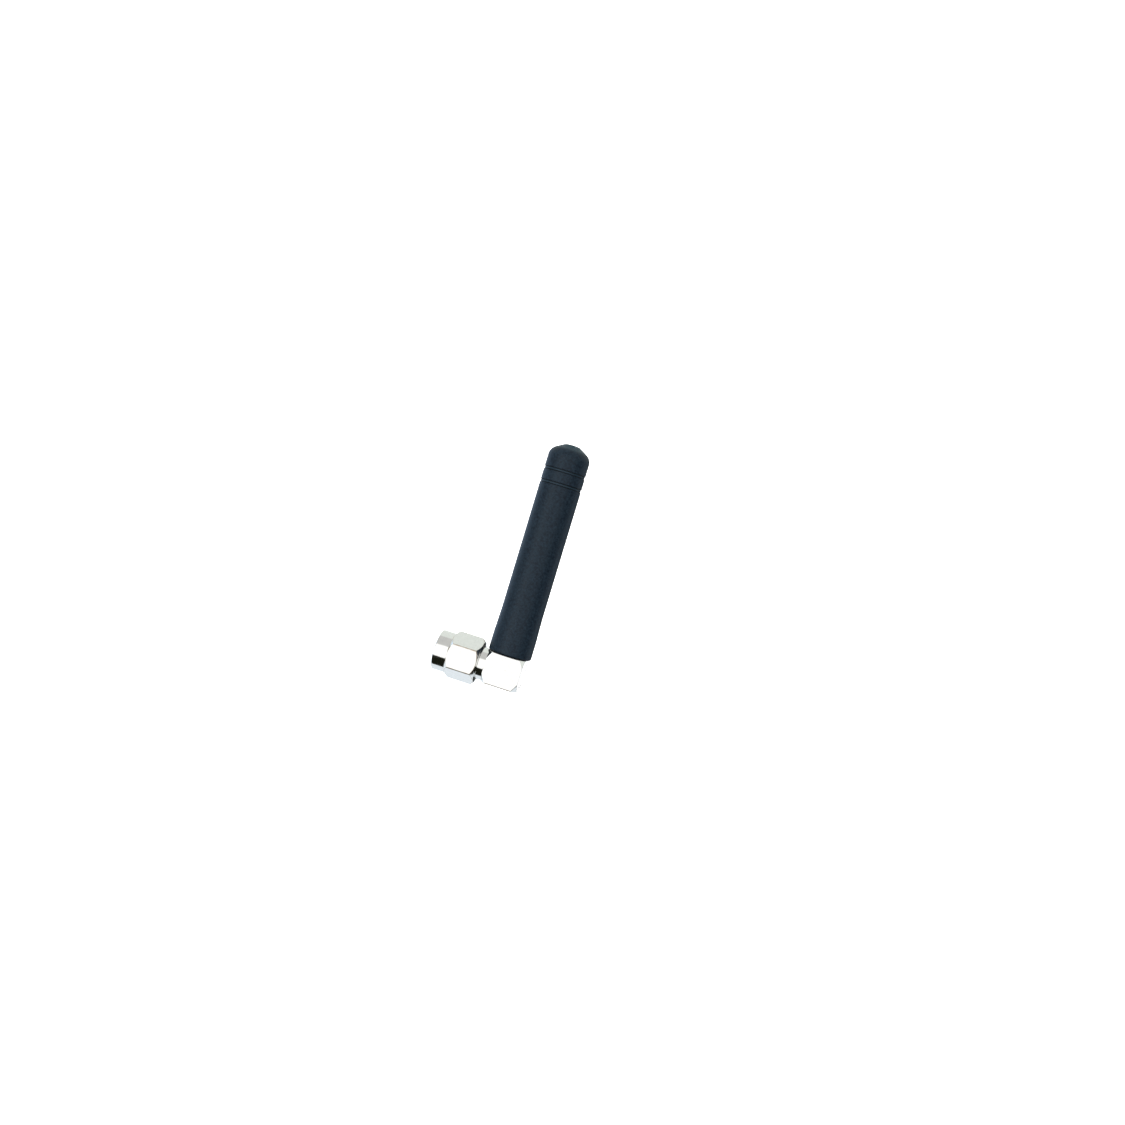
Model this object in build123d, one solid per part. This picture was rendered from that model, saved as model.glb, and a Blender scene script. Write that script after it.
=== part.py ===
from build123d import *
import os
from math import cos, radians, sin, sqrt, tan

# Stub antenna on a right-angle SMA plug. Millimetres, +Z up along the whip.
# The origin is on the plug's axis, in its reference plane, where the outer conductor of the
# mating jack stops. The plug mates towards -X, and the elbow lies towards +X.

FIT_GAP = 0.02  # radial gap between the pieces that are fixed in each other
THROUGH = 1.0  # how far a cutting tool runs past the face that it opens

# Coupling nut: a hexagon with a round skirt in front of it
NUT_ACROSS_FLATS = 8.0
NUT_BACK = 4.86
HEX_LENGTH = 5.88
SKIRT_LENGTH = 2.68
SKIRT_RADIUS = 3.875
SKIRT_ROUNDING = 0.3
HEX_FACE_RADIUS = 3.96  # where the 45 degree corner chamfer meets the hexagon's end faces
HEX_REAR_CROWN = 0.14  # the rear face is a flat cone, this proud at its bore
HEX_FRONT = NUT_BACK - HEX_LENGTH
NUT_MOUTH = HEX_FRONT - SKIRT_LENGTH
HEX_CORNER_RADIUS = NUT_ACROSS_FLATS / 2 / cos(radians(30))

# Bore of the nut: 1/4-36 UNS thread at its minor radius, a relief, and a groove for the ring
THREAD_MINOR_RADIUS = 2.85
THREAD_END = 1.1
MOUTH_RADIUS = 3.25
MOUTH_CHAMFER = MOUTH_RADIUS - THREAD_MINOR_RADIUS
NUT_REAR_BORE_RADIUS = 3.23
NUT_GROOVE_RADIUS = 3.6
NUT_GROOVE_FRONT = 3.3
NUT_GROOVE_BACK = 4.0

# Retaining ring: a C of wire that lets the nut turn on the body and float along it
RING_FRONT = 3.35
RING_BACK = 3.95
RING_INNER_RADIUS = 2.8
RING_OUTER_RADIUS = 3.5
RING_OPENING_DEG = 40
NUT_FLOAT = 0.3

# Outer conductor of the plug and the seat of its gasket
BARREL_RADIUS = 2.285
BARREL_CHAMFER = 0.1
BARREL_LENGTH = 1.9
GASKET_SEAT_RADIUS = 2.45
GASKET_OUTER_RADIUS = 3.1
GASKET_WIDTH = 0.7
GASKET_ROUNDING = 0.15
SHOULDER_FRONT = BARREL_LENGTH + GASKET_WIDTH
SHOULDER_RADIUS = 3.05
BODY_GROOVE_FRONT = 3.3
BODY_GROOVE_BACK = RING_BACK + NUT_FLOAT + 0.05
BODY_GROOVE_RADIUS = 2.65

# Elbow: a square bar with turned ends, on a round neck, milled flat under the whip
NECK_RADIUS = 3.15
NECK_LENGTH = 1.4
BLOCK_SQUARE = 6.3
BLOCK_LENGTH = 7.1
BLOCK_SEAT_CUT = 0.1
BLOCK_FACE_RADIUS = 3.45  # the 45 degree turning at both ends only takes the corners
WHIP_OFFSET = 3.58  # from the block's front to the whip's axis
BLOCK_FRONT = NUT_BACK + NECK_LENGTH
BLOCK_BACK = BLOCK_FRONT + BLOCK_LENGTH
BLOCK_TOP = BLOCK_SQUARE / 2 - BLOCK_SEAT_CUT
BLOCK_CORNER_RADIUS = BLOCK_SQUARE / sqrt(2)
WHIP_X = BLOCK_FRONT + WHIP_OFFSET
LINE_BORE_RADIUS = 2.05
FEED_BORE_RADIUS = 1.6
CAP_RADIUS = 2.3
CAP_SEAT = 12.3
CAP_RECESS = 0.02
CAP_CHAMFER = 0.05

# Inner conductor and the PTFE around it
PIN_RADIUS = 0.46
PIN_TIP_RADIUS = 0.2
PIN_LENGTH = 2.2
PIN_TAPER = 0.35
CONTACT_RADIUS = 0.635
CONTACT_BACK = WHIP_X + 0.8
FRONT_INSULATOR_BACK = 7.3
REAR_INSULATOR_FRONT = 11.5
FEED_PIN_RADIUS = 0.44
FEED_PIN_BOTTOM = -0.6
FEED_PIN_TOP = 11.6
FEED_INSULATOR_BOTTOM = 1.0
FEED_INSULATOR_TOP = 10.6
SOLDER_BASE_RADIUS = 0.78
SOLDER_TOP_RADIUS = 0.52
SOLDER_BOTTOM = 0.3
SOLDER_TOP = 0.95

# Spigot: pressed into the block, with barbs that grip the sleeve
SPIGOT_SHANK_RADIUS = 2.45
SPIGOT_SHANK_BOTTOM = 2.3
SPIGOT_CORE_RADIUS = 2.7
SPIGOT_TOP = 9.6
SPIGOT_COLLAR_HEIGHT = 0.8
BARB_COUNT = 3
BARB_PITCH = 1.75

# Radiator: a wire helix on a plastic rod, under heat shrink
WIRE_RADIUS = 0.4
HELIX_RADIUS = 2.36
HELIX_PITCH = 2.6
HELIX_TURNS = 10
HELIX_BOTTOM = 11.2
FERRULE_RADIUS = 1.92
FERRULE_BOTTOM = 10.7
FERRULE_SHOULDER = 12.4
SPUD_RADIUS = 0.8
SPUD_TOP = 13.6
FORMER_RADIUS = 1.9
FORMER_TOP = 37.9
SHRINK_INNER_RADIUS = 2.79
SHRINK_OUTER_RADIUS = 2.99

# Sleeve: a rubber tube with a flared foot, two shallow rings and a blunt domed tip
SLEEVE_HEIGHT = 41.2
SLEEVE_RADIUS = 4.0
SLEEVE_FOOT_RADIUS = 4.15
SLEEVE_FLARE_HEIGHT = 8.2
SLEEVE_FOOT_HEIGHT = 3.4
SLEEVE_RIM_ROUNDING = 0.45
SLEEVE_BORE_RADIUS = 3.02
SLEEVE_BORE_TOP = 39.2
SLEEVE_BORE_DOME = 1.2
TIP_FLAT_RADIUS = 1.3
TIP_SLOPE_DEG = 30
TIP_FLAT_ROUNDING = 1.5
TIP_SHOULDER_ROUNDING = 2.0
RING_GROOVE_DEPTHS = (5.3, 7.85)  # below the tip
RING_GROOVE_WIDTH = 0.5
RING_GROOVE_DEPTH = 0.1
SLEEVE_TIP = BLOCK_TOP + SLEEVE_HEIGHT


def turned_about_x(points):
    """A solid of revolution about the plug's axis, from (x, radius) points."""
    outline = Polyline(*[(x, 0, radius) for x, radius in points], close=True)
    return revolve(make_face(outline), axis=Axis.X)


def turned_about_whip(points):
    """A solid of revolution about the whip's axis, from (radius, z) points."""
    outline = Polyline(*[(WHIP_X + radius, 0, z) for radius, z in points], close=True)
    return revolve(make_face(outline), axis=whip_axis())


def whip_axis():
    return Axis((WHIP_X, 0, 0), (0, 0, 1))


def rod_along_x(radius, start, end):
    return turned_about_x([(start, 0), (start, radius), (end, radius), (end, 0)])


def rod_along_whip(radius, bottom, top):
    return turned_about_whip([(0, bottom), (radius, bottom), (radius, top), (0, top)])


def coupling_nut():
    return nut_hexagon() + nut_skirt() - nut_bore()


def nut_hexagon():
    """The hexagon, with a flat facing -Y, and a turned chamfer on its corners at each end."""
    section = Plane.YZ.offset(HEX_FRONT) * RegularPolygon(HEX_CORNER_RADIUS, 6, rotation=90)
    chamfer = HEX_CORNER_RADIUS - HEX_FACE_RADIUS
    proud = NUT_BACK + HEX_REAR_CROWN
    turned = turned_about_x(
        [
            (HEX_FRONT, 0),
            (HEX_FRONT, HEX_FACE_RADIUS),
            (HEX_FRONT + chamfer, HEX_CORNER_RADIUS),
            (NUT_BACK - chamfer, HEX_CORNER_RADIUS),
            (NUT_BACK, HEX_FACE_RADIUS),
            (proud, NUT_REAR_BORE_RADIUS),
            (proud, 0),
        ]
    )
    return extrude(section, amount=proud - HEX_FRONT) & turned


def nut_skirt():
    skirt = rod_along_x(SKIRT_RADIUS, NUT_MOUTH, HEX_FRONT + THROUGH)
    mouth_edge = skirt.edges().sort_by(Axis.X)[0]
    return fillet(mouth_edge, SKIRT_ROUNDING)


def nut_bore():
    relief = NUT_REAR_BORE_RADIUS - THREAD_MINOR_RADIUS
    return turned_about_x(
        [
            (NUT_MOUTH - THROUGH, 0),
            (NUT_MOUTH - THROUGH, MOUTH_RADIUS),
            (NUT_MOUTH, MOUTH_RADIUS),
            (NUT_MOUTH + MOUTH_CHAMFER, THREAD_MINOR_RADIUS),
            (THREAD_END, THREAD_MINOR_RADIUS),
            (THREAD_END + relief, NUT_REAR_BORE_RADIUS),
            (NUT_GROOVE_FRONT, NUT_REAR_BORE_RADIUS),
            (NUT_GROOVE_FRONT, NUT_GROOVE_RADIUS),
            (NUT_GROOVE_BACK, NUT_GROOVE_RADIUS),
            (NUT_GROOVE_BACK, NUT_REAR_BORE_RADIUS),
            (NUT_BACK + THROUGH, NUT_REAR_BORE_RADIUS),
            (NUT_BACK + THROUGH, 0),
        ]
    )


def retaining_ring():
    ring = rod_along_x(RING_OUTER_RADIUS, RING_FRONT, RING_BACK)
    hole = rod_along_x(RING_INNER_RADIUS, RING_FRONT - THROUGH, RING_BACK + THROUGH)
    half_angle = radians(RING_OPENING_DEG / 2)
    reach = 2 * RING_OUTER_RADIUS
    wedge = Polyline(
        (RING_FRONT - THROUGH, 0, 0),
        (RING_FRONT - THROUGH, reach * sin(half_angle), -reach * cos(half_angle)),
        (RING_FRONT - THROUGH, -reach * sin(half_angle), -reach * cos(half_angle)),
        close=True,
    )
    width = RING_BACK - RING_FRONT + 2 * THROUGH
    opening = extrude(make_face(wedge), amount=width, dir=(1, 0, 0))
    return ring - hole - opening


def interface_gasket():
    ring = rod_along_x(GASKET_OUTER_RADIUS, BARREL_LENGTH, SHOULDER_FRONT)
    hole = rod_along_x(GASKET_SEAT_RADIUS + FIT_GAP, 0, SHOULDER_FRONT + THROUGH)
    ring = ring - hole
    return fillet(ring.edges().filter_by(GeomType.CIRCLE), GASKET_ROUNDING)


def elbow_body():
    return elbow_block() + elbow_plug() - whip_seat() - line_bore() - feed_bore()


def whip_seat():
    """What the cutter takes off the top, to leave a flat that the sleeve stands on."""
    front = WHIP_X - SLEEVE_FOOT_RADIUS - BLOCK_SEAT_CUT
    centre = ((front + BLOCK_BACK + THROUGH) / 2, 0, BLOCK_TOP + THROUGH / 2)
    return Pos(centre) * Box(BLOCK_BACK + THROUGH - front, 2 * BLOCK_SQUARE, THROUGH)


def elbow_block():
    """A square bar whose ends are turned at 45 degrees, so that its corners slope away."""
    centre = Pos((BLOCK_FRONT + BLOCK_BACK) / 2, 0, 0)
    bar = centre * Box(BLOCK_LENGTH, BLOCK_SQUARE, BLOCK_SQUARE)
    slope = BLOCK_CORNER_RADIUS - BLOCK_FACE_RADIUS
    turned = turned_about_x(
        [
            (BLOCK_FRONT, 0),
            (BLOCK_FRONT, BLOCK_FACE_RADIUS),
            (BLOCK_FRONT + slope, BLOCK_CORNER_RADIUS),
            (BLOCK_BACK - slope, BLOCK_CORNER_RADIUS),
            (BLOCK_BACK, BLOCK_FACE_RADIUS),
            (BLOCK_BACK, 0),
        ]
    )
    return bar & turned


def elbow_plug():
    """The outer conductor, the gasket's seat and shoulder, the ring groove and the neck."""
    return turned_about_x(
        [
            (0, 0),
            (0, BARREL_RADIUS - BARREL_CHAMFER),
            (BARREL_CHAMFER, BARREL_RADIUS),
            (BARREL_LENGTH, BARREL_RADIUS),
            (BARREL_LENGTH, GASKET_SEAT_RADIUS),
            (SHOULDER_FRONT, GASKET_SEAT_RADIUS),
            (SHOULDER_FRONT, SHOULDER_RADIUS),
            (BODY_GROOVE_FRONT, SHOULDER_RADIUS),
            (BODY_GROOVE_FRONT, BODY_GROOVE_RADIUS),
            (BODY_GROOVE_BACK, BODY_GROOVE_RADIUS),
            (BODY_GROOVE_BACK, NECK_RADIUS),
            (WHIP_X, NECK_RADIUS),
            (WHIP_X, 0),
        ]
    )


def line_bore():
    """The bore of the coaxial line, and the seat of the rear cap at its far end."""
    bore = rod_along_x(LINE_BORE_RADIUS, -THROUGH, CAP_SEAT + THROUGH)
    return bore + rod_along_x(CAP_RADIUS, CAP_SEAT, BLOCK_BACK + THROUGH)


def feed_bore():
    """The upright bore of the feed, and the seat of the spigot at the block's top."""
    bore = rod_along_whip(FEED_BORE_RADIUS, 0, BLOCK_TOP + THROUGH)
    seat = rod_along_whip(SPIGOT_SHANK_RADIUS, SPIGOT_SHANK_BOTTOM, BLOCK_TOP + THROUGH)
    return bore + seat


def rear_cap():
    radius = CAP_RADIUS - FIT_GAP
    outer = BLOCK_BACK - CAP_RECESS
    return turned_about_x(
        [
            (CAP_SEAT, 0),
            (CAP_SEAT, radius),
            (outer - CAP_CHAMFER, radius),
            (outer, radius - CAP_CHAMFER),
            (outer, 0),
        ]
    )


def centre_contact():
    """The plug's pin, its thicker shank and the cross hole for the feed pin."""
    shank = turned_about_x(
        [
            (-PIN_LENGTH, 0),
            (-PIN_LENGTH, PIN_TIP_RADIUS),
            (PIN_TAPER - PIN_LENGTH, PIN_RADIUS),
            (0, PIN_RADIUS),
            (0, CONTACT_RADIUS),
            (CONTACT_BACK, CONTACT_RADIUS),
            (CONTACT_BACK, 0),
        ]
    )
    return shank - rod_along_whip(FEED_PIN_RADIUS + FIT_GAP, -THROUGH, THROUGH)


def front_insulator():
    bead = rod_along_x(LINE_BORE_RADIUS - FIT_GAP, 0, FRONT_INSULATOR_BACK)
    return bead - rod_along_x(CONTACT_RADIUS + FIT_GAP, -THROUGH, FRONT_INSULATOR_BACK + THROUGH)


def rear_insulator():
    return rod_along_x(LINE_BORE_RADIUS - FIT_GAP, REAR_INSULATOR_FRONT, CAP_SEAT)


def feed_pin():
    return rod_along_whip(FEED_PIN_RADIUS, FEED_PIN_BOTTOM, FEED_PIN_TOP)


def feed_insulator():
    tube = rod_along_whip(FEED_BORE_RADIUS - FIT_GAP, FEED_INSULATOR_BOTTOM, FEED_INSULATOR_TOP)
    return tube - rod_along_whip(FEED_PIN_RADIUS + FIT_GAP, 0, FEED_INSULATOR_TOP + THROUGH)


def solder_joint():
    """The fillet of solder that joins the feed pin to the top of the contact."""
    cone = turned_about_whip(
        [
            (0, SOLDER_BOTTOM),
            (SOLDER_BASE_RADIUS, SOLDER_BOTTOM),
            (SOLDER_TOP_RADIUS, SOLDER_TOP),
            (0, SOLDER_TOP),
        ]
    )
    contact = rod_along_x(CONTACT_RADIUS, 0, CONTACT_BACK)
    return cone - contact - rod_along_whip(FEED_PIN_RADIUS, 0, SOLDER_TOP + THROUGH)


def barbed_spigot():
    """A shouldered bush: its collar stands on the block and its barbs face the sleeve."""
    grip_radius = SLEEVE_BORE_RADIUS - FIT_GAP
    collar_top = BLOCK_TOP + SPIGOT_COLLAR_HEIGHT
    profile = [
        (0, SPIGOT_SHANK_BOTTOM),
        (SPIGOT_SHANK_RADIUS, SPIGOT_SHANK_BOTTOM),
        (SPIGOT_SHANK_RADIUS, BLOCK_TOP),
        (grip_radius, BLOCK_TOP),
        (grip_radius, collar_top),
        (SPIGOT_CORE_RADIUS, collar_top),
    ]
    for number in range(1, BARB_COUNT + 1):
        edge = collar_top + number * BARB_PITCH
        profile.append((SPIGOT_CORE_RADIUS, edge - BARB_PITCH / 3))
        profile.append((grip_radius, edge - BARB_PITCH / 3))
        profile.append((SPIGOT_CORE_RADIUS, edge))
    profile.append((SPIGOT_CORE_RADIUS, SPIGOT_TOP))
    profile.append((0, SPIGOT_TOP))
    bore = rod_along_whip(FEED_BORE_RADIUS, SPIGOT_SHANK_BOTTOM - THROUGH, SPIGOT_TOP + THROUGH)
    return turned_about_whip(profile) - bore


def helix_ferrule():
    """The terminal between the feed pin and the helix, with a spud that holds the former."""
    body = turned_about_whip(
        [
            (0, FERRULE_BOTTOM),
            (FERRULE_RADIUS, FERRULE_BOTTOM),
            (FERRULE_RADIUS, FERRULE_SHOULDER),
            (SPUD_RADIUS, FERRULE_SHOULDER),
            (SPUD_RADIUS, SPUD_TOP),
            (0, SPUD_TOP),
        ]
    )
    return body - rod_along_whip(FEED_PIN_RADIUS + FIT_GAP, 0, FEED_PIN_TOP)


def helix_former():
    rod = rod_along_whip(FORMER_RADIUS, FERRULE_SHOULDER, FORMER_TOP)
    return rod - rod_along_whip(SPUD_RADIUS + FIT_GAP, 0, SPUD_TOP)


def radiator_helix():
    path = Helix(
        pitch=HELIX_PITCH,
        height=HELIX_PITCH * HELIX_TURNS,
        radius=HELIX_RADIUS,
        center=(WHIP_X, 0, HELIX_BOTTOM),
    )
    section = Plane(origin=path @ 0, z_dir=path % 0) * Circle(WIRE_RADIUS)
    return sweep(section, path=path, is_frenet=True)


def helix_shrink():
    tube = rod_along_whip(SHRINK_OUTER_RADIUS, FEED_INSULATOR_TOP, FORMER_TOP)
    return tube - rod_along_whip(SHRINK_INNER_RADIUS, 0, FORMER_TOP + THROUGH)


def sleeve():
    body = sleeve_outside() - sleeve_bore()
    for depth in RING_GROOVE_DEPTHS:
        body = body - ring_groove(SLEEVE_TIP - depth)
    return body


def sleeve_outside():
    """The turned outside: a rounded rim, a short foot, a flare, the tube and the tip."""
    slope_fall = (SLEEVE_RADIUS - TIP_FLAT_RADIUS) * tan(radians(TIP_SLOPE_DEG))
    corners = [
        (0, BLOCK_TOP),
        (SLEEVE_FOOT_RADIUS, BLOCK_TOP),
        (SLEEVE_FOOT_RADIUS, BLOCK_TOP + SLEEVE_FOOT_HEIGHT),
        (SLEEVE_RADIUS, BLOCK_TOP + SLEEVE_FLARE_HEIGHT),
        (SLEEVE_RADIUS, SLEEVE_TIP - slope_fall),
        (TIP_FLAT_RADIUS, SLEEVE_TIP),
        (0, SLEEVE_TIP),
    ]
    body = turned_about_whip(corners)
    circles = body.edges().filter_by(GeomType.CIRCLE).sort_by(Axis.Z)
    body = fillet(circles[0], SLEEVE_RIM_ROUNDING)
    circles = body.edges().filter_by(GeomType.CIRCLE).sort_by(Axis.Z)
    body = fillet(circles[-2], TIP_SHOULDER_ROUNDING)
    circles = body.edges().filter_by(GeomType.CIRCLE).sort_by(Axis.Z)
    return fillet(circles[-1], TIP_FLAT_ROUNDING)


def sleeve_bore():
    bore = rod_along_whip(SLEEVE_BORE_RADIUS, BLOCK_TOP - THROUGH, SLEEVE_BORE_TOP)
    top_edge = bore.edges().filter_by(GeomType.CIRCLE).sort_by(Axis.Z)[-1]
    return fillet(top_edge, SLEEVE_BORE_DOME)


def ring_groove(height):
    """A shallow ring around the tube, centred at this height."""
    bottom = height - RING_GROOVE_WIDTH / 2
    top = height + RING_GROOVE_WIDTH / 2
    outer = SLEEVE_RADIUS + THROUGH
    inner = SLEEVE_RADIUS - RING_GROOVE_DEPTH
    return rod_along_whip(outer, bottom, top) - rod_along_whip(inner, bottom, top)


PIECES = {
    "sleeve": sleeve,
    "radiator_helix": radiator_helix,
    "helix_former": helix_former,
    "helix_shrink": helix_shrink,
    "helix_ferrule": helix_ferrule,
    "feed_pin": feed_pin,
    "feed_insulator": feed_insulator,
    "barbed_spigot": barbed_spigot,
    "elbow_body": elbow_body,
    "rear_cap": rear_cap,
    "rear_insulator": rear_insulator,
    "front_insulator": front_insulator,
    "solder_joint": solder_joint,
    "centre_contact": centre_contact,
    "interface_gasket": interface_gasket,
    "retaining_ring": retaining_ring,
    "coupling_nut": coupling_nut,
}

os.makedirs("parts", exist_ok=True)
for name, make in PIECES.items():
    export_step(make(), f"parts/{name}.step")
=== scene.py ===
from math import atan2, cos, pi, radians, sin, tan

import bmesh
import bpy
from mathutils import Matrix, Vector


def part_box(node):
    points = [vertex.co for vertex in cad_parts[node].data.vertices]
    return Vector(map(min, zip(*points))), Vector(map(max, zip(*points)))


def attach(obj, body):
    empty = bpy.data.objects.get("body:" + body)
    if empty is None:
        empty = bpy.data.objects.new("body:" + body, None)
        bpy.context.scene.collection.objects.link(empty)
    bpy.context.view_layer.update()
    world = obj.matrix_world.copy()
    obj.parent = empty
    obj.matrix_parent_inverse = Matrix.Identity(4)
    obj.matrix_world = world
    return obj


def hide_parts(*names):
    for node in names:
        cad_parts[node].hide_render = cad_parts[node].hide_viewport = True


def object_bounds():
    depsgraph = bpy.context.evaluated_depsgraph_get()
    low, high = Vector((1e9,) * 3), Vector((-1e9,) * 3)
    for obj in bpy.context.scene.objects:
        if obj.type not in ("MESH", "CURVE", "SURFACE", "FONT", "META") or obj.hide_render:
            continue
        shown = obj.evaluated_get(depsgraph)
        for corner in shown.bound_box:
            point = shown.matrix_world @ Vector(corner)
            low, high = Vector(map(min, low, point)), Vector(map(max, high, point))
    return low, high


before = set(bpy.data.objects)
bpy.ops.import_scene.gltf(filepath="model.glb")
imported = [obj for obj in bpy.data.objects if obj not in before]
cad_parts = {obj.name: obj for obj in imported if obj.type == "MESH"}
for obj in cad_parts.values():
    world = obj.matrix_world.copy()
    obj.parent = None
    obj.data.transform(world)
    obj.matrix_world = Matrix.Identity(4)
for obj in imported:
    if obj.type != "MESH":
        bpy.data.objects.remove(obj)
cad_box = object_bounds()

MM = 0.001

# Camera: level, a little to the right of the front, rolled so that the whip leans to the right
CAMERA_AZIMUTH = radians(9.0)
CAMERA_DISTANCE = 216 * MM
CAMERA_HEIGHT = 27.85 * MM
CAMERA_AIM_RIGHT = 4.5 * MM
CAMERA_AIM_DOWN = 5.18 * MM
CAMERA_ROLL = radians(16.85)
CAMERA_LENS_MM = 36.7

# Coupling nut, in millimetres
NUT_ACROSS_FLATS = 8.0
NUT_SKIRT_RADIUS = 3.875
NUT_SKIRT_ROUNDING = 0.3
NUT_HEX_LENGTH = 5.88
NUT_HEX_FACE_RADIUS = 3.96  # where the corner chamfer meets the hexagon's end faces
NUT_CORNER_ROUNDING = 0.27
NUT_REAR_CROWN = 0.14  # the rear face is a flat cone, this proud at its bore
NUT_REAR_ROUNDING = 0.25
NUT_MINOR_RADIUS = 2.85
NUT_MAJOR_RADIUS = 3.175
NUT_THREAD_END = 1.1
NUT_MOUTH_RADIUS = 3.25
NUT_REAR_BORE_RADIUS = 3.23
NUT_RELIEF = NUT_THREAD_END + NUT_REAR_BORE_RADIUS - NUT_MINOR_RADIUS
NUT_GROOVE = (3.3, 4.0, 3.6)  # front, back, radius
THREAD_PITCH = 25.4 / 36
THREAD_ROWS = 18  # rows of faces in one pitch
THREAD_CREST = 0.25  # where the flank starts and ends, from the middle of the crest
THREAD_ROOT = 0.875

# Elbow, in millimetres
BARREL_RADIUS = 2.285
BARREL_LENGTH = 1.9
BARREL_CHAMFER = 0.1
GASKET_SEAT_RADIUS = 2.45
SHOULDER_FRONT = 2.6
SHOULDER_RADIUS = 3.05
RING_GROOVE_FRONT = 3.3
RING_GROOVE_BACK = 4.3
RING_GROOVE_RADIUS = 2.65
NECK_RADIUS = 3.15
LINE_BORE_RADIUS = 2.05
CAP_RADIUS = 2.3
CAP_CHAMFER = 0.02
BLOCK_SIDE = 3.15
BLOCK_LENGTH = 7.1
BLOCK_FACE_RADIUS = 3.45  # of the end faces, inside the turned slope of the corners
BLOCK_SLOPE_ROUNDING = 0.35  # where the turned slope meets the sides
BLOCK_CORNER_ROUNDING = 0.2
BLOCK_SEAT_CUT = 0.1  # the flat under the whip starts this far in front of the sleeve
FEED_BORE_RADIUS = 1.6
FEED_BORE_BOTTOM = 0.3
SPIGOT_SHANK_RADIUS = 2.45
SPIGOT_SHANK_BOTTOM = 2.3

# Sleeve, in millimetres; heights are above its rim, or below its tip
SLEEVE_RADIUS = 4.0
SLEEVE_BORE_RADIUS = 3.02
SLEEVE_BORE_BELOW_TIP = 5.05
SLEEVE_FOOT_HEIGHT = 3.4
SLEEVE_FLARE_HEIGHT = 8.2
SLEEVE_FLARE_ROUNDING = 40.0
SLEEVE_RIM_ROUNDING = 0.45
SLEEVE_BORE_ROUNDING = 1.2
TIP_FLAT_RADIUS = 1.3
TIP_FLAT_ROUNDING = 1.5
TIP_SHOULDER_ROUNDING = 2.0
TIP_SLOPE = radians(30)
BAND_MIDDLES = (5.3, 7.85)  # shallow grooves round the sleeve, near its tip
BAND_WIDTH = 0.5
BAND_DEPTH = 0.1
BAND_CREASE = 0.25  # each groove is this much deeper along its two sides
# The mould's parting line: angles across it, each with its lift
PARTING_LINE = ((-0.024, 0.0), (-0.010, 0.012), (0.0, 0.016), (0.010, 0.012), (0.024, 0.0))

# Rounding of an edge, in millimetres, and with steps
EDGE = 0.1
MACHINED = (EDGE, 3)
TURNED = (0.03, 2)
SHARP = (0.02, 2)
CRISP = (0.01, 2)
HOLD = 0.02  # a row of faces this narrow beside each rounding keeps the flats flat
FLAT_LIMIT = 0.04  # what lies deeper than this under a flat is on its chamfer

# Colours of the sleeve and of the nickel
RUBBER_DARK = (0.0045, 0.0095, 0.0175)
RUBBER_LIGHT = (0.0160, 0.0310, 0.0470)
RUBBER_CLOUD = (0.013, 0.025, 0.036)
# painted highlight: the dome's top is drawn lighter, as where light falls from above
RUBBER_TOP_HIGHLIGHT = (0.008, 0.032, 0.048)
# painted highlight on the floor of each groove round the sleeve
RUBBER_BAND_HIGHLIGHT = (0.017, 0.032, 0.046)
# painted shade for the grooves' creases and the rim's lower edge
RUBBER_CREASE_SHADE = (0.001, 0.002, 0.004)
NICKEL_DARK = (0.70, 0.70, 0.68)
NICKEL_LIGHT = (0.745, 0.745, 0.725)
NICKEL_SPECK = (0.45, 0.44, 0.42)
# a warm brown tint along the marked edges
NICKEL_EDGE_BROWN = (0.42, 0.33, 0.23)

# The light by its height above the front, in degrees: it is dark below the front
LIGHT_ZONES = (
    (-180, -170, (1.45, 1.47, 1.50)),
    (-166, -93, (1.00, 1.08, 1.16)),
    (-90, -33, (0.012, 0.013, 0.008)),
    (-30, 33, (1.45, 1.45, 1.45)),
    (37, 88, (0.74, 0.74, 0.73)),
    (92, 166, (0.98, 1.03, 0.99)),
    (170, 180, (1.45, 1.47, 1.50)),
)

# Patches of other light over those zones. Each limit is (axis, none of it here, all of it here),
# along a direction's X, Y or Z, or its rise above the front.
BELOW_SKY = ("z", 0.35, 0.20)
LEVEL = (("z", 0.36, 0.30), ("z", -0.40, -0.34))
BEHIND = (*LEVEL, ("y", 0.0, 0.15))
BEHIND_RIGHT = (*BEHIND, ("x", 0.17, 0.21))
LIGHT_PATCHES = (
    ((BELOW_SKY, ("x", 0.70, 0.80), ("y", 0.28, 0.16)), (0.03, 0.028, 0.022)),
    ((BELOW_SKY, ("x", -0.80, -0.92), ("y", 0.35, 0.22)), (0.20, 0.16, 0.10)),
    (BEHIND_RIGHT, (0.30, 0.33, 0.38)),
    ((*BEHIND_RIGHT, ("y", 0.48, 0.62)), (1.35, 1.55, 1.8)),
    ((*BEHIND_RIGHT, ("y", 0.70, 0.80)), (0.02, 0.022, 0.018)),
    ((*BEHIND, ("x", -0.35, -0.55)), (0.95, 1.20, 1.55)),
    (
        (
            ("x", -0.30, -0.37),
            ("x", -0.60, -0.50),
            ("rise", radians(-29), radians(-27)),
            ("rise", radians(25), radians(0)),
        ),
        (4.4, 5.0, 5.4),
    ),
)

# The white floor and room, in metres
ROOM_WIDTH = 2.36
ROOM_HEIGHT = 2.0
ROOM_MIDDLE = 0.6
FLOOR_HALF_WIDTH = 1.2
FLOOR_DROP = 0.07  # below the object


def whip_x():
    low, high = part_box("sleeve")
    return (low.x + high.x) / 2


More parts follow.
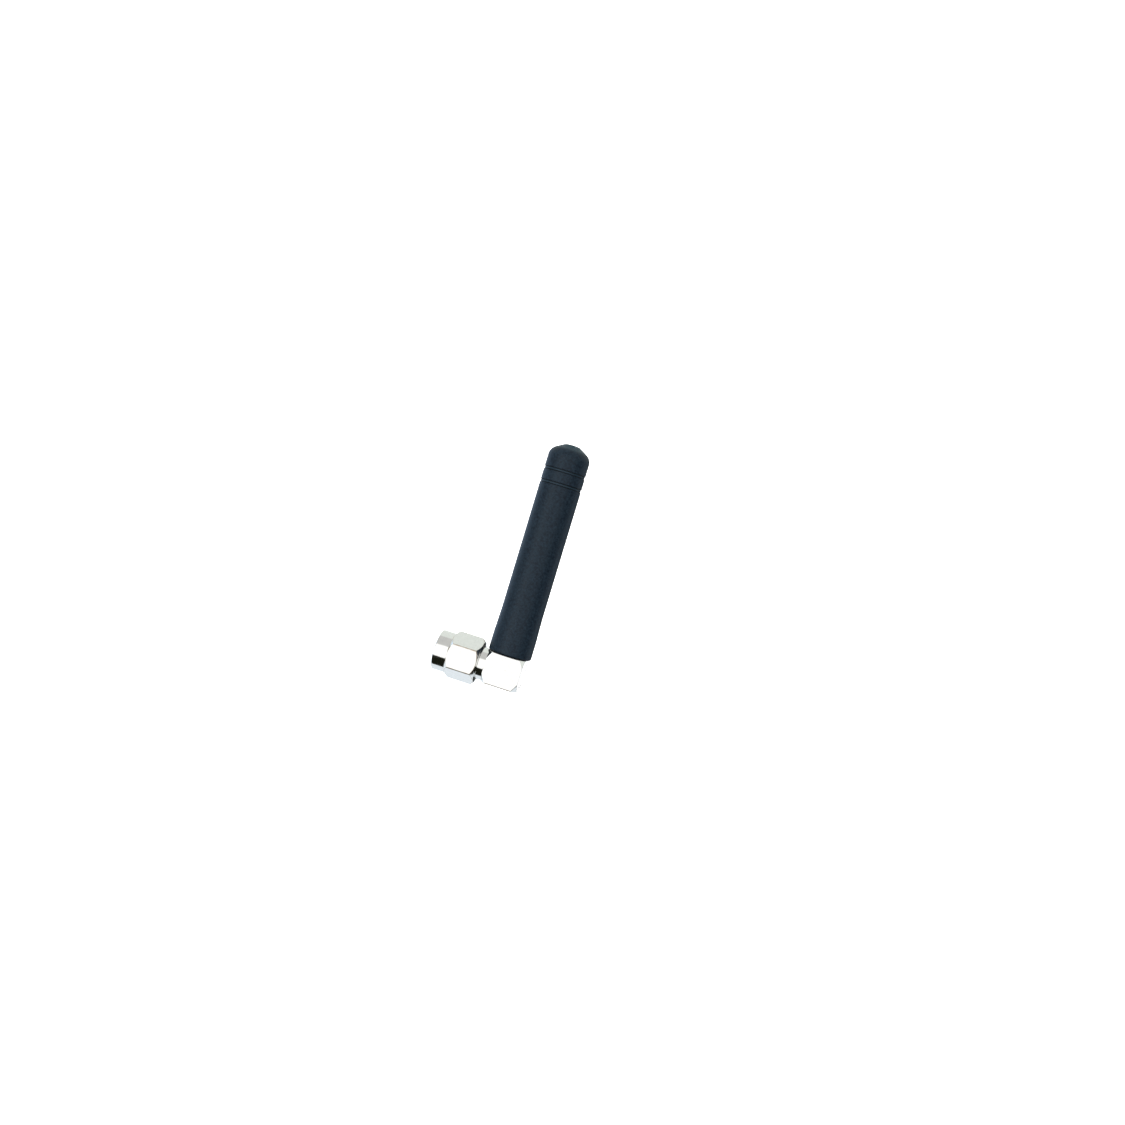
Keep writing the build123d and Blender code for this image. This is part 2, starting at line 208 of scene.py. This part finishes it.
def make_camera():
    data = bpy.data.cameras.new("camera")
    data.lens = CAMERA_LENS_MM
    data.sensor_width = 36
    data.clip_start = 0.01
    data.clip_end = 20
    camera = bpy.data.objects.new("camera", data)
    bpy.context.scene.collection.objects.link(camera)
    centre = Vector((whip_x(), 0, CAMERA_HEIGHT))
    right = Vector((cos(CAMERA_AZIMUTH), sin(CAMERA_AZIMUTH), 0))
    back = Vector((sin(CAMERA_AZIMUTH), -cos(CAMERA_AZIMUTH), 0))
    camera.location = centre + back * CAMERA_DISTANCE
    aim = centre + right * CAMERA_AIM_RIGHT - Vector((0, 0, CAMERA_AIM_DOWN))
    facing = (aim - camera.location).to_track_quat("-Z", "Y")
    roll = Matrix.Rotation(CAMERA_ROLL, 3, "Z")
    camera.rotation_euler = (facing.to_matrix() @ roll).to_euler()
    bpy.context.scene.camera = camera


# ---------------------------------------------------------------- outlines and meshes


def rounded(corners, closed=True):
    """Points along an outline of corners (a, b, rounding, steps), each turned into an arc.

    Each point comes with a mark: 1 on a small arc, which is a machined edge, or else 0.
    """
    points = []
    last = len(corners) - 1
    for index, (a, b, rounding, steps) in enumerate(corners):
        if not closed and index in (0, last):
            points.append((a, b, 0.0))
            continue
        here = Vector((a, b))
        before = Vector(corners[index - 1][:2]) - here
        after = Vector(corners[(index + 1) % len(corners)][:2]) - here
        turn = pi - before.angle(after)
        reach = max(rounding * tan(turn / 2), HOLD / 4)
        reach = min(reach, 0.42 * before.length, 0.42 * after.length)
        hold_in = min(HOLD, 0.05 * before.length)
        hold_out = min(HOLD, 0.05 * after.length)
        start = here + before.normalized() * reach
        end = here + after.normalized() * reach
        weight = cos(turn / 2)
        edge = 1.0 if rounding <= EDGE * 1.5 and turn > radians(20) else 0.0
        first = here + before.normalized() * (reach + hold_in)
        points.append((first.x, first.y, 0.0))
        for step in range(steps + 1):
            s = step / steps
            parts = ((1 - s) ** 2, 2 * s * (1 - s) * weight, s ** 2)
            point = (start * parts[0] + here * parts[1] + end * parts[2]) / sum(parts)
            points.append((point.x, point.y, edge))
        final = here + after.normalized() * (reach + hold_out)
        points.append((final.x, final.y, 0.0))
    return points


def polygon_section(flats, rounding, arc_steps, flat_steps):
    """Points (angle, radius, mark) round a convex polygon with rounded corners.

    flats are the (angle, distance) of its sides. The mark is 1 on the rounded corners.
    """
    arcs = []
    for (angle, near), (next_angle, far) in zip(flats, flats[1:] + flats[:1]):
        turn = (next_angle - angle) % (2 * pi)
        out = near - rounding
        along = (far - rounding - out * cos(turn)) / sin(turn)
        arc = []
        for step in range(arc_steps + 1):
            part = turn * step / arc_steps
            point = Vector((out + rounding * cos(part), along + rounding * sin(part)))
            arc.append(Matrix.Rotation(angle, 2) @ point)
        arcs.append(arc)
    section = []
    for arc, next_arc in zip(arcs, arcs[1:] + arcs[:1]):
        section += [(point, 1.0) for point in arc]
        start, end = arc[-1], next_arc[0]
        hold = HOLD / (end - start).length
        stops = [hold] + [step / flat_steps for step in range(1, flat_steps)] + [1 - hold]
        section += [(start.lerp(end, stop), 0.0) for stop in stops]
    return [(atan2(p.y, p.x), p.length, mark) for p, mark in section]


def mesh_from_columns(name, columns, material, closed=True, marks=()):
    """A closed mesh between neighbouring columns of points, in millimetres, all round an axis.

    marks are (attribute name, columns of numbers) to keep on the points.
    """
    mesh = bpy.data.meshes.new(name)
    build = bmesh.new()
    layers = [build.verts.layers.float.new(mark_name) for mark_name, _ in marks]
    grid = []
    poles = {}
    height = len(columns[0])
    for number, column in enumerate(columns):
        made = []
        for row, point in enumerate(column):
            is_pole = not closed and row in (0, height - 1)
            if is_pole and row in poles:
                made.append(poles[row])
                continue
            vertex = build.verts.new(Vector(point) * MM)
            for layer, (_, values) in zip(layers, marks):
                vertex[layer] = values[number][row]
            if is_pole:
                poles[row] = vertex
            made.append(vertex)
        grid.append(made)
    rows = height if closed else height - 1
    for number, column in enumerate(grid):
        following = grid[(number + 1) % len(grid)]
        for row in range(rows):
            up = (row + 1) % height
            corners = [column[row], following[row], following[up], column[up]]
            unique = list(dict.fromkeys(corners))
            build.faces.new(unique)
    bmesh.ops.recalc_face_normals(build, faces=build.faces)
    build.to_mesh(mesh)
    build.free()
    mesh.polygons.foreach_set("use_smooth", [True] * len(mesh.polygons))
    mesh.materials.append(material)
    piece = bpy.data.objects.new(name, mesh)
    bpy.context.scene.collection.objects.link(piece)
    return piece


def around_x(angle, x, radius):
    """A point at this angle from +Z towards +Y about the plug's axis."""
    return (x, radius * sin(angle), radius * cos(angle))


# ---------------------------------------------------------------- materials


def new_material(name, metallic):
    material = bpy.data.materials.new(name)
    material.use_nodes = True
    shader = material.node_tree.nodes["Principled BSDF"]
    shader.inputs["Metallic"].default_value = metallic
    return material, shader


def connect(nodes, shader, base, rough, normal):
    nodes.join(base, shader.inputs["Base Color"])
    nodes.join(rough, shader.inputs["Roughness"])
    nodes.join(normal, shader.inputs["Normal"])


class Nodes:
    """Short calls for the nodes of a material, in millimetres, or of the world, by direction."""

    def __init__(self, owner):
        self.tree = owner.node_tree
        coordinates = self.tree.nodes.new("ShaderNodeTexCoord")
        if isinstance(owner, bpy.types.World):
            self.place = coordinates.outputs["Generated"]
        else:
            self.place = self.scaled(coordinates.outputs["Object"], (1 / MM,) * 3)

    def join(self, source, target):
        self.tree.links.new(source, target)

    def scaled(self, vector, scale):
        node = self.tree.nodes.new("ShaderNodeMapping")
        node.inputs["Scale"].default_value = scale
        self.join(vector, node.inputs["Vector"])
        return node.outputs["Vector"]

    def math(self, operation, a, b=0.0):
        node = self.tree.nodes.new("ShaderNodeMath")
        node.operation = operation
        for socket, value in zip(node.inputs, (a, b)):
            if hasattr(value, "links"):
                self.join(value, socket)
            else:
                socket.default_value = value
        return node.outputs["Value"]

    def noise(self, scale, detail=3.0, stretch=(1, 1, 1), roughness=0.5):
        node = self.tree.nodes.new("ShaderNodeTexNoise")
        node.inputs["Scale"].default_value = scale
        node.inputs["Detail"].default_value = detail
        node.inputs["Roughness"].default_value = roughness
        self.join(self.scaled(self.place, stretch), node.inputs["Vector"])
        return node.outputs["Fac"]

    def range(self, value, low, high, to_low=0.0, to_high=1.0):
        """Clamped. With low above high it falls as the value rises."""
        node = self.tree.nodes.new("ShaderNodeMapRange")
        node.inputs["From Min"].default_value = low
        node.inputs["From Max"].default_value = high
        node.inputs["To Min"].default_value = to_low
        node.inputs["To Max"].default_value = to_high
        self.join(value, node.inputs["Value"])
        return node.outputs["Result"]

    def mix(self, factor, first, second):
        node = self.tree.nodes.new("ShaderNodeMix")
        node.data_type = "RGBA"
        self.join(factor, node.inputs["Factor"])
        for name, value in (("A", first), ("B", second)):
            socket = [s for s in node.inputs if s.name == name and s.type == "RGBA"][0]
            if hasattr(value, "links"):
                self.join(value, socket)
            else:
                socket.default_value = (*value, 1)
        return [s for s in node.outputs if s.type == "RGBA"][0]

    def bump(self, height, strength, depth_mm):
        node = self.tree.nodes.new("ShaderNodeBump")
        node.inputs["Strength"].default_value = strength
        node.inputs["Distance"].default_value = depth_mm * MM
        self.join(height, node.inputs["Height"])
        return node.outputs["Normal"]

    def attribute(self, name):
        node = self.tree.nodes.new("ShaderNodeAttribute")
        node.attribute_name = name
        return node.outputs["Fac"]

    def axes(self):
        node = self.tree.nodes.new("ShaderNodeSeparateXYZ")
        self.join(self.place, node.inputs["Vector"])
        return node.outputs["X"], node.outputs["Y"], node.outputs["Z"]

    def turning_lines(self, pitch):
        """Fine lines round the plug's axis, on cylinders and on end faces alike."""
        x, y, z = self.axes()
        square = self.math("ADD", self.math("MULTIPLY", y, y), self.math("MULTIPLY", z, z))
        travel = self.math("ADD", x, self.math("SQRT", square))
        wobble = self.math("MULTIPLY", self.noise(0.8), 0.4)
        phase = self.math("MULTIPLY", self.math("ADD", travel, wobble), 2 * pi / pitch)
        return self.math("SINE", phase)

    def distance(self, value, place):
        return self.math("ABSOLUTE", self.math("SUBTRACT", value, place))


def plated_metal(name, marked):
    """Bright nickel: mottled, with turning lines and fine scratches.

    Where the mesh has marks, its edges are tinted warm brown and its flats have no turning lines.
    """
    material, shader = new_material(name, metallic=1.0)
    nodes = Nodes(material)
    mottle = nodes.range(nodes.noise(1.6, 4.0), 0.3, 0.7)
    base = nodes.mix(mottle, NICKEL_DARK, NICKEL_LIGHT)
    specks = nodes.range(nodes.noise(5.5, 2.0), 0.70, 0.76)
    base = nodes.mix(specks, base, NICKEL_SPECK)
    rough = nodes.range(nodes.noise(2.6, 5.0), 0.3, 0.75, 0.07, 0.14)
    scratches = nodes.noise(1.0, 4.0, stretch=(1.2, 14, 14))
    lines = nodes.turning_lines(0.11)
    if marked:
        # a warm brown tint along the marked edges, patchy along them
        tint_strength = nodes.range(nodes.noise(1.2), 0.35, 0.65, 0.35, 0.85)
        tinted = nodes.math("MULTIPLY", nodes.attribute("edge"), tint_strength)
        base = nodes.mix(tinted, base, NICKEL_EDGE_BROWN)
        turned = nodes.math("SUBTRACT", 1.0, nodes.attribute("flat"))
        lines = nodes.math("MULTIPLY", lines, turned)
    height = nodes.math("ADD", nodes.math("MULTIPLY", lines, 0.3), scratches)
    connect(nodes, shader, base, rough, nodes.bump(height, 0.12, 0.004))
    return material


def sleeve_rubber():
    """Matte moulded rubber: bluish charcoal with a fine grain, with a painted highlight on top
    and on the grooves' floors, and painted shade in the grooves' creases and along the rim.
    """
    material, shader = new_material("sleeve_rubber", metallic=0.0)
    nodes = Nodes(material)
    grain = nodes.noise(2.4, 5.0, roughness=0.75)
    cloud = nodes.noise(0.5, 2.0)
    base = nodes.mix(nodes.range(grain, 0.38, 0.62), RUBBER_DARK, RUBBER_LIGHT)
    base = nodes.mix(nodes.range(cloud, 0.35, 0.65, 0.0, 0.25), base, RUBBER_CLOUD)
    low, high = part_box("sleeve")
    rim, tip = low.z / MM, high.z / MM
    height = nodes.axes()[2]
    # painted highlight: the dome's top is drawn lighter
    base = nodes.mix(nodes.range(height, tip - 1.3, tip - 0.7), base, RUBBER_TOP_HIGHLIGHT)
    # painted shade along the rim's rounded lower edge
    dark = nodes.range(height, rim + 0.4, rim + 0.1)
    for middle in BAND_MIDDLES:
        from_middle = nodes.distance(height, tip - middle)
        from_crease = nodes.distance(from_middle, BAND_WIDTH / 2 - 0.01)
        # painted shade along the two creases of each groove
        dark = nodes.math("MAXIMUM", dark, nodes.range(from_crease, 0.09, 0.05))
        # painted highlight: each groove's floor is drawn lighter
        base = nodes.mix(nodes.range(from_middle, 0.17, 0.12), base, RUBBER_BAND_HIGHLIGHT)
    # the painted shade goes on over the rest
    base = nodes.mix(dark, base, RUBBER_CREASE_SHADE)
    rough = nodes.range(grain, 0.38, 0.62, 0.36, 0.56)
    fine = nodes.math("MULTIPLY", nodes.noise(11.0, 4.0, roughness=0.6), 0.3)
    relief = nodes.math("ADD", fine, grain)
    connect(nodes, shader, base, rough, nodes.bump(relief, 0.5, 0.05))
    shader.inputs["Specular IOR Level"].default_value = 0.15
    return material


def simple_metal(name, dark, light, roughness, scale):
    material, shader = new_material(name, metallic=1.0)
    nodes = Nodes(material)
    base = nodes.mix(nodes.range(nodes.noise(scale, 4.0), 0.3, 0.7), dark, light)
    patches = nodes.noise(scale * 2.5, 3.0)
    rough = nodes.range(patches, 0.3, 0.7, roughness * 0.7, roughness * 1.4)
    connect(nodes, shader, base, rough, nodes.bump(nodes.turning_lines(0.07), 0.1, 0.003))
    return material


def simple_matte(name, dark, light, roughness, scale):
    material, shader = new_material(name, metallic=0.0)
    nodes = Nodes(material)
    grain = nodes.noise(scale, 5.0)
    base = nodes.mix(nodes.range(grain, 0.3, 0.7), dark, light)
    patches = nodes.noise(scale * 0.4, 3.0)
    rough = nodes.range(patches, 0.3, 0.7, roughness * 0.85, roughness * 1.1)
    connect(nodes, shader, base, rough, nodes.bump(grain, 0.2, 0.01))
    return material


def dress_cad_nodes():
    """The pieces whose CAD shape stays get their materials here."""
    nickel = plated_metal("nickel_plain", marked=False)
    brass = simple_metal("turned_brass", (0.62, 0.44, 0.18), (0.72, 0.53, 0.25), 0.22, 1.5)
    white = simple_matte("ptfe", (0.80, 0.80, 0.77), (0.88, 0.88, 0.86), 0.42, 3.0)
    gold = simple_metal("gold", (0.86, 0.60, 0.22), (0.95, 0.72, 0.32), 0.14, 1.2)
    bronze = simple_metal("bronze", (0.48, 0.32, 0.16), (0.60, 0.42, 0.22), 0.3, 2.0)
    solder = simple_metal("solder", (0.52, 0.52, 0.52), (0.64, 0.64, 0.63), 0.35, 4.0)
    copper = simple_metal("copper", (0.72, 0.36, 0.20), (0.80, 0.46, 0.28), 0.25, 1.5)
    former = simple_matte("former", (0.74, 0.74, 0.70), (0.82, 0.82, 0.78), 0.5, 2.0)
    shrink = simple_matte("shrink", (0.010, 0.010, 0.010), (0.018, 0.018, 0.018), 0.4, 3.0)
    gasket = simple_matte("gasket", (0.30, 0.055, 0.030), (0.38, 0.075, 0.040), 0.5, 4.0)
    finishes = {
        "rear_cap": nickel,
        "barbed_spigot": nickel,
        "centre_contact": gold,
        "retaining_ring": bronze,
        "solder_joint": solder,
        "radiator_helix": copper,
        "helix_ferrule": brass,
        "feed_pin": brass,
        "front_insulator": white,
        "rear_insulator": white,
        "feed_insulator": white,
        "helix_former": former,
        "helix_shrink": shrink,
        "interface_gasket": gasket,
    }
    for node, material in finishes.items():
        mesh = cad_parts[node].data
        mesh.materials.clear()
        mesh.materials.append(material)


# ---------------------------------------------------------------- pieces


def make_nut(material):
    low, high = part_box("coupling_nut")
    mouth = low.x / MM
    back = high.x / MM - NUT_REAR_CROWN
    front = back - NUT_HEX_LENGTH
    flats = [(radians(30 + 60 * side), NUT_ACROSS_FLATS / 2) for side in range(6)]
    section = polygon_section(flats, NUT_CORNER_ROUNDING, arc_steps=6, flat_steps=18)
    bore_rows = int((NUT_RELIEF - mouth) / THREAD_PITCH * THREAD_ROWS)
    columns, edges, flat_marks = [], [], []
    for angle, radius, corner in section:
        points = nut_outside(radius, mouth, front, back)
        for row in range(1, bore_rows):
            x = NUT_RELIEF + (mouth - NUT_RELIEF) * row / bore_rows
            points.append((x, bore_radius(angle, x, mouth), 0.0))
        columns.append([around_x(angle, x, r) for x, r, _ in points])
        on_hex = [front < x < back and r > radius - FLAT_LIMIT for x, r, _ in points]
        edges.append([max(mark, corner * on) for (_, _, mark), on in zip(points, on_hex)])
        flat_marks.append([float(on) for on in on_hex])
    nut = mesh_from_columns(
        "nut_shell", columns, material, marks=(("edge", edges), ("flat", flat_marks))
    )
    finish_piece(nut, "nut", "coupling_nut")


def nut_outside(radius, mouth, front, back):
    """The nut's outline at one angle, from its mouth over the hexagon and in to the relief."""
    chamfer = radius - NUT_HEX_FACE_RADIUS
    groove_front, groove_back, groove_radius = NUT_GROOVE
    corners = [
        (mouth, NUT_MOUTH_RADIUS, *TURNED),
        (mouth, NUT_SKIRT_RADIUS, NUT_SKIRT_ROUNDING, 6),
        (front, NUT_SKIRT_RADIUS, *TURNED),
        (front, NUT_HEX_FACE_RADIUS, *TURNED),
        (front + chamfer, radius, *MACHINED),
        (back - chamfer, radius, 1.5 * EDGE, 4),
        (back, NUT_HEX_FACE_RADIUS, NUT_REAR_ROUNDING, 4),
        (back + NUT_REAR_CROWN, NUT_REAR_BORE_RADIUS + 0.1, *TURNED),
        (back + NUT_REAR_CROWN - 0.1, NUT_REAR_BORE_RADIUS, *TURNED),
        (groove_back, NUT_REAR_BORE_RADIUS, *TURNED),
        (groove_back, groove_radius, *TURNED),
        (groove_front, groove_radius, *TURNED),
        (groove_front, NUT_REAR_BORE_RADIUS, *TURNED),
        (NUT_RELIEF, NUT_REAR_BORE_RADIUS, *TURNED),
        (NUT_RELIEF - 0.1, NUT_REAR_BORE_RADIUS - 0.1, 0.0, 1),
    ]
    return rounded(corners)[:-1]


def bore_radius(angle, x, mouth):
    """The threaded bore: a right-hand thread between the mouth's chamfer and the relief."""
    plain = NUT_MINOR_RADIUS
    plain = max(plain, NUT_MOUTH_RADIUS - (x - mouth))
    plain = max(plain, NUT_MINOR_RADIUS + (x - NUT_THREAD_END))
    turn = (x + THREAD_PITCH * angle / (2 * pi)) / THREAD_PITCH
    from_crest = abs(2 * (turn % 1.0) - 1)
    depth = (from_crest - THREAD_CREST) / (THREAD_ROOT - THREAD_CREST)
    depth = min(max(depth, 0.0), 1.0)
    return max(plain, NUT_MINOR_RADIUS + depth * (NUT_MAJOR_RADIUS - NUT_MINOR_RADIUS))


def make_elbow(material):
    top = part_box("sleeve")[0].z / MM
    flats = [(0.0, top), (pi / 2, BLOCK_SIDE), (pi, BLOCK_SIDE), (-pi / 2, BLOCK_SIDE)]
    section = polygon_section(flats, BLOCK_CORNER_ROUNDING, arc_steps=6, flat_steps=24)
    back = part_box("elbow_body")[1].x / MM
    front = back - BLOCK_LENGTH
    columns, edges, flat_marks = [], [], []
    for angle, radius, corner in section:
        points = elbow_outline(radius, front, back)
        columns.append([around_x(angle, x, r) for x, r, _ in points])
        on_block = [front < x < back and r > radius - FLAT_LIMIT for x, r, _ in points]
        tinted = cos(angle) < 0  # only below: the sleeve covers the edges above
        marks = [max(mark, corner * on) for (_, _, mark), on in zip(points, on_block)]
        edges.append([tinted * mark for mark in marks])
        flat_marks.append([float(on) for on in on_block])
    elbow = mesh_from_columns(
        "elbow_shell", columns, material, marks=(("edge", edges), ("flat", flat_marks))
    )
    cut_feed_bore(elbow, top)
    finish_piece(elbow, "antenna", "elbow_body")


def elbow_outline(radius, front, back):
    """The elbow's outline at one angle: the plug, the neck, the block and the bore in them."""
    seat_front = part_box("sleeve")[0].x / MM - BLOCK_SEAT_CUT
    cap_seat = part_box("rear_cap")[0].x / MM
    neck = min(NECK_RADIUS, radius)
    front_inner = max(min(radius, BLOCK_FACE_RADIUS), neck)
    slope = max(radius - front_inner, HOLD)
    back_inner = min(radius - 0.03, BLOCK_FACE_RADIUS)
    corners = [
        (0, LINE_BORE_RADIUS, *SHARP),
        (0, BARREL_RADIUS - BARREL_CHAMFER, *SHARP),
        (BARREL_CHAMFER, BARREL_RADIUS, *SHARP),
        (BARREL_LENGTH, BARREL_RADIUS, *SHARP),
        (BARREL_LENGTH, GASKET_SEAT_RADIUS, *SHARP),
        (SHOULDER_FRONT, GASKET_SEAT_RADIUS, *SHARP),
        (SHOULDER_FRONT, SHOULDER_RADIUS, *TURNED),
        (RING_GROOVE_FRONT, SHOULDER_RADIUS, *TURNED),
        (RING_GROOVE_FRONT, RING_GROOVE_RADIUS, *SHARP),
        (RING_GROOVE_BACK, RING_GROOVE_RADIUS, *SHARP),
        (RING_GROOVE_BACK, NECK_RADIUS, *TURNED),
        (seat_front - HOLD, NECK_RADIUS, *CRISP),
        (seat_front, neck, *CRISP),
        (front, neck, *TURNED),
        (front + HOLD, front_inner, 0.05, 2),
        (front + HOLD + slope, radius, BLOCK_SLOPE_ROUNDING, 5),
        (back - (radius - back_inner), radius, BLOCK_SLOPE_ROUNDING, 5),
        (back, back_inner, *MACHINED),
        (back, CAP_RADIUS + CAP_CHAMFER, *CRISP),
        (back - CAP_CHAMFER, CAP_RADIUS, *CRISP),
        (cap_seat, CAP_RADIUS, *SHARP),
        (cap_seat, LINE_BORE_RADIUS, *SHARP),
    ]
    return rounded(corners)


def cut_feed_bore(elbow, top):
    """Opens the upright bore of the feed and the seat of the spigot."""
    profile = [
        (0.0, FEED_BORE_BOTTOM),
        (FEED_BORE_RADIUS, FEED_BORE_BOTTOM),
        (FEED_BORE_RADIUS, SPIGOT_SHANK_BOTTOM),
        (SPIGOT_SHANK_RADIUS, SPIGOT_SHANK_BOTTOM),
        (SPIGOT_SHANK_RADIUS, top + 1),
        (0.0, top + 1),
    ]
    axis = whip_x() / MM
    columns = []
    sides = 64
    for number in range(sides):
        angle = 2 * pi * (number + 0.37) / sides  # off the elbow's own vertices
        columns.append([(axis + r * cos(angle), r * sin(angle), z) for r, z in profile])
    cutter = mesh_from_columns("feed_bore_cutter", columns, elbow.data.materials[0], closed=False)
    modifier = elbow.modifiers.new("feed_bore", "BOOLEAN")
    modifier.operation = "DIFFERENCE"
    modifier.solver = "EXACT"
    modifier.object = cutter
    graph = bpy.context.evaluated_depsgraph_get()
    cut = bpy.data.meshes.new_from_object(elbow.evaluated_get(graph))
    elbow.modifiers.clear()
    elbow.data = cut
    bpy.data.objects.remove(cutter)


def make_sleeve(material):
    low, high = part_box("sleeve")
    rim = low.z / MM
    tip = high.z / MM
    foot_radius = (high.x - low.x) / 2 / MM
    axis = whip_x() / MM
    profile = rounded(sleeve_outline(rim, tip, foot_radius), closed=False)
    columns = []
    for angle, lift in sleeve_angles():
        column = []
        for r, z, _ in profile:
            outside = SLEEVE_BORE_RADIUS + 0.3 < r and rim + 0.5 < z
            r = r + lift * outside
            column.append((axis + r * cos(angle), r * sin(angle), z))
        columns.append(column)
    sleeve = mesh_from_columns("sleeve_skin", columns, material, closed=False)
    finish_piece(sleeve, "antenna", "sleeve")


def sleeve_outline(rim, tip, foot_radius):
    """The sleeve's outline from the top of its bore, out round the rim and up to the tip."""
    fall = (SLEEVE_RADIUS - TIP_FLAT_RADIUS) * tan(TIP_SLOPE)
    bore_top = tip - SLEEVE_BORE_BELOW_TIP
    floor = SLEEVE_RADIUS - BAND_DEPTH
    corners = [
        (0.0, bore_top, 0, 1),
        (SLEEVE_BORE_RADIUS, bore_top, SLEEVE_BORE_ROUNDING, 6),
        (SLEEVE_BORE_RADIUS, rim, *MACHINED),
        (foot_radius, rim, SLEEVE_RIM_ROUNDING, 7),
        (foot_radius, rim + SLEEVE_FOOT_HEIGHT, SLEEVE_FLARE_ROUNDING, 5),
        (SLEEVE_RADIUS, rim + SLEEVE_FLARE_HEIGHT, SLEEVE_FLARE_ROUNDING, 5),
    ]
    for middle in sorted(BAND_MIDDLES, reverse=True):
        bottom = tip - middle - BAND_WIDTH / 2
        top = tip - middle + BAND_WIDTH / 2
        corners += [
            (SLEEVE_RADIUS, bottom - 0.03, *TURNED),
            (floor - BAND_CREASE, bottom + 0.01, *CRISP),
            (floor, bottom + 0.06, *TURNED),
            (floor, top - 0.06, *TURNED),
            (floor - BAND_CREASE, top - 0.01, *CRISP),
            (SLEEVE_RADIUS, top + 0.03, *TURNED),
        ]
    corners += [
        (SLEEVE_RADIUS, tip - fall, TIP_SHOULDER_ROUNDING, 10),
        (TIP_FLAT_RADIUS, tip, TIP_FLAT_ROUNDING, 6),
        (0.0, tip, 0, 1),
    ]
    return corners


def sleeve_angles():
    """Angles round the whip, each with the lift of the mould's parting line, at +X and -X."""
    angles = []
    steps = 96
    for side in (0.0, pi):
        for offset, lift in PARTING_LINE:
            angles.append((side + offset, lift))
        for step in range(2, steps - 1):
            angles.append((side + pi * step / steps, 0.0))
    return angles


def finish_piece(piece, body, node):
    """The piece rides on its body and takes its CAD node's place."""
    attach(piece, body)
    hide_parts(node)


# ---------------------------------------------------------------- studio


def make_studio():
    """A bright studio, with the light coming from all round except the darker parts."""
    scene = bpy.context.scene
    scene.view_settings.view_transform = "Standard"
    world = bpy.data.worlds.new("studio")
    world.use_nodes = True
    nodes = Nodes(world)
    x, y, z = nodes.axes()
    rise = nodes.math("ARCTAN2", z, nodes.math("MULTIPLY", y, -1.0))
    places = {"x": x, "y": y, "z": z, "rise": rise}
    ramp = nodes.tree.nodes.new("ShaderNodeValToRGB")
    nodes.join(nodes.range(rise, -pi, pi), ramp.inputs["Fac"])
    fill_ramp(ramp.color_ramp)
    light = ramp.outputs["Color"]
    for limits, colour in LIGHT_PATCHES:
        light = nodes.mix(inside(nodes, places, limits), light, colour)
    nodes.join(light, world.node_tree.nodes["Background"].inputs["Color"])
    scene.world = world
    make_room()


def inside(nodes, places, limits):
    """1 in the directions within all the limits, and 0 outside, with soft edges."""
    share = None
    for place, none_at, all_at in limits:
        part = nodes.range(places[place], none_at, all_at)
        share = part if share is None else nodes.math("MULTIPLY", share, part)
    return share


def fill_ramp(ramp):
    elements = ramp.elements
    stops = []
    for low, high, colour in LIGHT_ZONES:
        stops += [(low, colour), (high, colour)]
    while len(elements) < len(stops):
        elements.new(1.0)
    for element, (degrees_up, colour) in zip(elements, stops):
        element.position = (degrees_up + 180) / 360
        element.color = (*colour, 1)


def make_room():
    """A white floor and a white room round it, which only the camera sees."""
    white = bpy.data.materials.new("white")
    white.use_nodes = True
    shader = white.node_tree.nodes["Principled BSDF"]
    shader.inputs["Base Color"].default_value = (0.9, 0.9, 0.9, 1)
    shader.inputs["Emission Color"].default_value = (1, 1, 1, 1)
    shader.inputs["Emission Strength"].default_value = 1.2
    floor_level = cad_box[0].z - FLOOR_DROP
    build = bmesh.new()
    bmesh.ops.create_grid(build, x_segments=1, y_segments=1, size=FLOOR_HALF_WIDTH)
    stage_piece("floor", build, white, (0, 0, floor_level))
    build = bmesh.new()
    bmesh.ops.create_cube(build, size=1.0)
    bmesh.ops.scale(build, vec=(ROOM_WIDTH, ROOM_WIDTH, ROOM_HEIGHT), verts=build.verts)
    stage_piece("room", build, white, (0, 0, ROOM_MIDDLE))


def stage_piece(name, build, material, location):
    mesh = bpy.data.meshes.new(name)
    build.to_mesh(mesh)
    build.free()
    mesh.materials.append(material)
    piece = bpy.data.objects.new(name, mesh)
    bpy.context.scene.collection.objects.link(piece)
    piece.location = location
    piece.visible_diffuse = False
    piece.visible_glossy = False
    piece.visible_transmission = False
    piece.visible_shadow = False


make_camera()
make_studio()
dress_cad_nodes()
nickel = plated_metal("nickel", marked=True)
make_nut(nickel)
make_elbow(nickel)
make_sleeve(sleeve_rubber())
